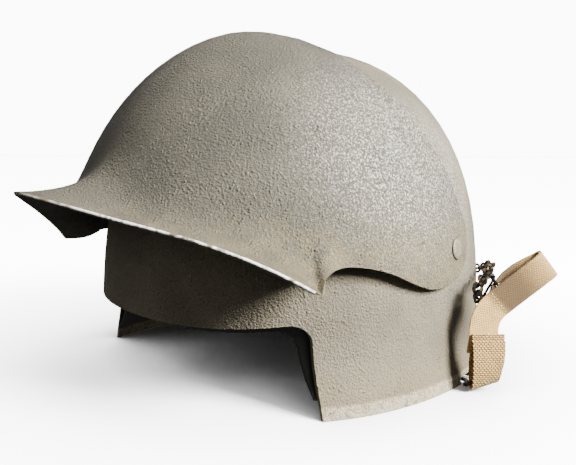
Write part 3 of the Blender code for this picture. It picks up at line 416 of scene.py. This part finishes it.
def soften(mesh):
    """Joins triangles into the sheet's own squares and keeps its sharp edges for rounding."""
    work = bmesh.new()
    work.from_mesh(mesh)
    seat = {vertex for vertex in work.verts if axle_distance(vertex.co) < SEAT_RADIUS}
    open_faces = [face for face in work.faces if not seat.intersection(face.verts)]
    bmesh.ops.join_triangles(
        work,
        faces=open_faces,
        angle_face_threshold=math.radians(JOIN_FLAT_ANGLE),
        angle_shape_threshold=math.radians(JOIN_SHAPE_ANGLE),
    )
    crease = work.edges.layers.float.new("crease_edge")
    sharp = math.radians(SMOOTH_ANGLE)
    for edge in work.edges:
        if edge.calc_face_angle(0.0) > sharp or seat.issuperset(edge.verts):
            edge[crease] = 1.0
    work.to_mesh(mesh)
    work.free()


def settle_rivet(mesh, side):
    """Lays a rivet's head flat on the plate, where the CAD leaves a gap for its turning."""
    axis = Vector((RIVET_AXIS[0] * side, RIVET_AXIS[1], RIVET_AXIS[2]))
    base = Vector((RIVET_BASE[0] * side, RIVET_BASE[1], RIVET_BASE[2]))
    for vertex in mesh.vertices:
        height = (vertex.co - base).dot(axis)
        if height > 0:
            vertex.co += axis * (height * RIVET_FLATNESS - RIVET_GAP - height)


def thicken(mesh):
    """Gives chain wire the roundness that its few flat sides take away."""
    normals = [vertex.normal.copy() for vertex in mesh.vertices]
    for vertex, normal in zip(mesh.vertices, normals):
        vertex.co += normal * WIRE_FULLNESS


def bearing(place):
    """Angle round the helmet from its front."""
    return math.atan2(place.x, -place.y)


def brim_middles(mesh):
    """Points along the brim's edge, midway between the two sharp edges of the sheet."""
    work = bmesh.new()
    work.from_mesh(mesh)
    sharp = math.radians(BRIM_EDGE_ANGLE)
    edges = [edge for edge in work.edges if edge.calc_face_angle(0.0) > sharp]
    corners = {vertex for edge in edges for vertex in edge.verts if vertex.co.y < BRIM_END_Y}
    places = sorted((vertex.co.copy() for vertex in corners), key=bearing)
    work.free()
    starts = range(len(places) - BEAD_SPAN + 1)
    return [sum(places[i:i + BEAD_SPAN], Vector()) / BEAD_SPAN for i in starts]


def make_bead(mesh, metal, body):
    """Bead along the brim's edge, coloured as rubbed bare metal and as a painted highlight of the edge.
    """
    curve = bpy.data.curves.new("brim_highlight_bead", "CURVE")
    curve.dimensions = "3D"
    curve.bevel_depth = BEAD_RADIUS
    curve.bevel_resolution = 2
    curve.use_fill_caps = True
    middles = brim_middles(mesh)
    spline = curve.splines.new("POLY")
    spline.points.add(len(middles) - 1)
    for point, place in zip(spline.points, middles):
        point.co = (place.x, place.y, place.z + BEAD_LIFT, 1.0)
    curve.materials.append(metal)
    bead = place_object("brim_highlight_bead", curve)
    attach(bead, body)


def make_stitches(thread, body):
    """Row of thread dashes across the strap at the foot of its pull loop."""
    heading = math.radians(NEAR_TAB_HEADING)
    along = Vector((math.cos(heading), math.sin(heading), 0))
    out = Vector((-math.sin(heading), math.cos(heading), 0))
    up = Vector((0, 0, 1))
    lean = math.radians(PULL_HEADING)
    across = up * math.cos(lean) - along * math.sin(lean)
    centre = Vector(NEAR_TAB_PLACE) + along * SEAM_ALONG + up * SEAM_UP + out * SEAM_DEPTH
    turn = across.to_track_quat("Z", "Y").to_matrix().to_4x4()
    work = bmesh.new()
    for index in range(STITCHES):
        place = centre + across * STITCH_PITCH * (index - (STITCHES - 1) / 2)
        bmesh.ops.create_cone(
            work,
            cap_ends=True,
            segments=8,
            radius1=STITCH_RADIUS,
            radius2=STITCH_RADIUS,
            depth=STITCH_LENGTH,
            matrix=Matrix.Translation(place) @ turn,
        )
    mesh = bpy.data.meshes.new("seam_stitches")
    work.to_mesh(mesh)
    work.free()
    mesh.materials.append(thread)
    stitches = place_object("seam_stitches", mesh)
    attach(stitches, body)


def merged_mesh(node, paint):
    """Copy of a CAD node's mesh with its corners joined, shaded smooth and painted."""
    mesh = node.data.copy()
    work = bmesh.new()
    work.from_mesh(mesh)
    bmesh.ops.remove_doubles(work, verts=work.verts, dist=0.01 * MM)
    work.to_mesh(mesh)
    work.free()
    if mesh.has_custom_normals:
        mesh.attributes.remove(mesh.attributes["custom_normal"])
    mesh.shade_smooth()
    mesh.set_sharp_from_angle(angle=math.radians(SMOOTH_ANGLE))
    mesh.materials.clear()
    mesh.materials.append(paint)
    return mesh


def smooth_copy(node, body, paint, metal):
    """Stands in for a CAD node with the same shape, its curved faces shaded as one."""
    mesh = merged_mesh(node, paint)
    if node.name in ROUNDED:
        soften(mesh)
    if node.name == "front_plate":
        make_bead(mesh, metal, body)
    if node.name.startswith("chain"):
        thicken(mesh)
    if node.name.startswith("rivet"):
        settle_rivet(mesh, 1 if node.name.endswith("left") else -1)
    made = place_object(f"{node.name}_look", mesh)
    if node.name in ROUNDED:
        rounded = made.modifiers.new("round", "SUBSURF")
        rounded.levels = 1
        rounded.render_levels = 1
    weights = made.modifiers.new("even", "WEIGHTED_NORMAL")
    weights.keep_sharp = True
    weights.mode = "FACE_AREA"
    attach(made, body)
    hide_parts(node.name)


def make_paints():
    """Materials of the pieces, by the name of the piece."""
    tab = webbing("tab_webbing", NEAR_TAB_HEADING, 0, TAB_PITCH, TAB_RELIEF, TAB_PALE, TAB_DEEP, NO_PAINTED_SHADE)
    strap_weave = (STRAP_PITCH, STRAP_RELIEF, STRAP_PALE, STRAP_DEEP)
    rivet = rivet_paint("rivet_paint")
    return {
        "bowl": gritty_paint(
            "bowl_paint", "#544c3b", "#625a47", 0.8, BOWL_WORN_PLACE, BOWL_DUST_AND_HIGHLIGHT_FULL, BOWL_DUST_AND_HIGHLIGHT_NONE
        ),
        "front_plate": gritty_paint(
            "plate_paint", "#3b372a", "#474234", 1.0, PLATE_WORN_PLACE, PLATE_DUST_AND_HIGHLIGHT_FULL, PLATE_DUST_AND_HIGHLIGHT_NONE
        ),
        "inner_shell": dark_paint("liner_black_and_painted_shade"),
        "rivet_left": rivet,
        "rivet_right": rivet,
        "tab_left": tab,
        "tab_right": tab,
        "pull_strap": webbing(
            "strap_webbing", NEAR_TAB_HEADING, PULL_HEADING, *strap_weave, PULL_PAINTED_SHADE_FROM
        ),
        "back_strap": webbing("back_webbing", 0, 0, *strap_weave, NO_PAINTED_SHADE),
    }


def stage_sheet(name, corners, material):
    """One square of the stage, seen without throwing its own light back on the helmet."""
    mesh = bpy.data.meshes.new(name)
    mesh.from_pydata(corners, [], [(0, 1, 2, 3)])
    mesh.materials.append(material)
    sheet = place_object(name, mesh)
    sheet.visible_diffuse = False
    sheet.visible_glossy = False
    return sheet


def make_floor():
    """Wide floor just under the rim."""
    reach = FLOOR_REACH
    corners = [(-reach, -reach, 0), (reach, -reach, 0), (reach, reach, 0), (-reach, reach, 0)]
    floor = stage_sheet("floor", corners, floor_material())
    floor.location.z = -FLOOR_DROP


def make_backdrop():
    """White wall far behind the helmet."""
    half = WALL_HALF_WIDTH
    corners = [(-half, 0, WALL_BOTTOM), (half, 0, WALL_BOTTOM), (half, 0, WALL_TOP), (-half, 0, WALL_TOP)]
    wall = stage_sheet("backdrop", corners, backdrop_material())
    wall.location = WALL_PLACE
    wall.rotation_euler.z = math.radians(WALL_HEADING)


def add_light(name, place, size, power):
    """Soft square light that looks at the helmet."""
    data = bpy.data.lights.new(name, "AREA")
    data.size = size
    data.energy = power
    light = place_object(name, data)
    light.location = place
    look = (Vector(LIGHT_TARGET) - Vector(place)).to_track_quat("-Z", "Y")
    light.rotation_euler = look.to_euler()


def make_lights():
    """Soft light from the upper right, a weak one in front, and pale surroundings."""
    add_light("key", KEY_PLACE, KEY_SIZE, KEY_POWER)
    add_light("fill", FILL_PLACE, FILL_SIZE, FILL_POWER)
    world = bpy.data.worlds.new("surroundings")
    world.use_nodes = True
    tree = world.node_tree
    shader = next(node for node in tree.nodes if node.type == "BACKGROUND")
    axes = split(tree, tree.nodes.new("ShaderNodeTexCoord").outputs["Generated"])
    strength = ramp(tree, axes[2], -0.15, 0.25, WORLD_LOW, WORLD_HIGH)
    tree.links.new(strength, shader.inputs["Strength"])
    shader.inputs["Color"].default_value = WHITE
    bpy.context.scene.world = world


def make_camera():
    """Camera at the photo's place."""
    data = bpy.data.cameras.new("camera")
    data.lens = CAMERA_LENS
    data.sensor_width = CAMERA_SENSOR
    data.shift_x = CAMERA_SHIFT_X
    data.shift_y = CAMERA_SHIFT_Y
    camera = place_object("camera", data)
    look = (Vector(CAMERA_TARGET) - Vector(CAMERA_PLACE)).to_track_quat("-Z", "Y")
    roll = Matrix.Rotation(math.radians(CAMERA_ROLL), 4, "Z")
    camera.matrix_world = Matrix.Translation(CAMERA_PLACE) @ look.to_matrix().to_4x4() @ roll
    bpy.context.scene.camera = camera


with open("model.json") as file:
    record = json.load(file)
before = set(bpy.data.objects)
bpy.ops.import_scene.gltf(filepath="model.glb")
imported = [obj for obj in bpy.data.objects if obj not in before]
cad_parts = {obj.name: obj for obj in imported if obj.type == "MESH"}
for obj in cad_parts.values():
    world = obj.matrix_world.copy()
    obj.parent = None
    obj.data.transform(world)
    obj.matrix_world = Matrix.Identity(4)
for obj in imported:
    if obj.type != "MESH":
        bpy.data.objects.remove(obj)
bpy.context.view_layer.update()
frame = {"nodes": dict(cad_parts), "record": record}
bodies = frame["record"]["behaviour"]["bodies"]
body_of = {name: body for body, names in bodies.items() for name in names}

paints = make_paints()
steel = black_steel("black_steel")
metal = edge_metal()
for name, node in frame["nodes"].items():
    smooth_copy(node, body_of[name], paints.get(name, steel), metal)

make_stitches(plain_thread(), "shell")
make_floor()
make_backdrop()
make_lights()
make_camera()
